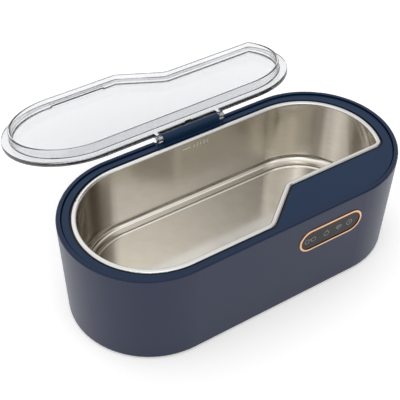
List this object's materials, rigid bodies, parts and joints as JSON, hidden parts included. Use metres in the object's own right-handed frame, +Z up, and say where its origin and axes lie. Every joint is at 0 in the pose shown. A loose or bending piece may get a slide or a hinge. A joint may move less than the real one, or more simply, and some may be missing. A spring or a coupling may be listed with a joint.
{
  "type": "ultrasonic jewelry cleaner",
  "caption": "Slot-shaped ultrasonic jewelry cleaner with a dogleg steel tank, a touch panel on its front and a hinged clear lid that lies open behind it.",
  "frame": {"origin": "under the middle of the body, on the plane of its feet", "axes": "+X along the body towards the end with the touch panel, +Y towards the hinge and the power inlet, +Z up"},
  "size_m": [0.205, 0.1823, 0.071],
  "materials": {
    "housing_plastic": "satin painted housing shell, grey navy",
    "deck_plastic": "moulded navy deck",
    "tank_steel": "drawn stainless sheet",
    "seal_rubber": "moulded rubber",
    "clear_lid": "clear moulded plastic",
    "pin_steel": "bright steel rod",
    "ring_metal": "rose gold plated bezel",
    "lens_black": "dark touch window",
    "board_laminate": "green circuit board",
    "screw_steel": "zinc plated steel",
    "light_resin": "light emitter resin",
    "cover_plastic": "moulded bottom cover",
    "disc_aluminium": "machined aluminium",
    "ceramic": "fired ceramic disc",
    "silver_film": "silvered electrode",
    "ferrite": "sintered ferrite",
    "winding_wire": "taped winding",
    "capacitor_sleeve": "shrink sleeve",
    "fuse_body": "ceramic fuse with caps",
    "component_black": "moulded resin",
    "connector_white": "nylon connector",
    "inlet_black": "moulded inlet",
    "contact_brass": "plated contact pin",
    "wire_brown": "insulated wire",
    "wire_red": "insulated wire",
    "ribbon_grey": "flat cable"
  },
  "bodies": {
    "base": {"housing": "housing_plastic", "top_deck": "deck_plastic", "tank": "tank_steel", "tank_seal": "seal_rubber", "hinge_pin": "pin_steel", "panel_ring": "ring_metal", "panel_lens": "lens_black", "touch_board": "board_laminate", "panel_screws": "screw_steel", "touch_springs": "screw_steel", "panel_lights": "light_resin", "base_cover": "cover_plastic", "feet": "seal_rubber", "base_screws": "screw_steel", "coupling_disc": "disc_aluminium", "piezo_disc": "ceramic", "electrodes": "silver_film", "main_board": "board_laminate", "board_screws": "screw_steel", "transformer_core": "ferrite", "transformer_winding": "winding_wire", "capacitor": "capacitor_sleeve", "fuse": "fuse_body", "heat_sink": "disc_aluminium", "transistor": "component_black", "connectors": "connector_white", "inlet": "inlet_black", "inlet_contacts": "contact_brass", "mains_wires": "wire_brown", "drive_wires": "wire_red", "panel_ribbon": "ribbon_grey"},
    "lid": {"lid": "clear_lid"}
  },
  "joints": [
    {"name": "lid_hinge", "type": "hinge", "parent": "base", "child": "lid", "pos_m": [0.001, 0.0461, 0.0659], "axis": [1, 0, 0], "range_deg": [0, 193.7]}
  ]
}
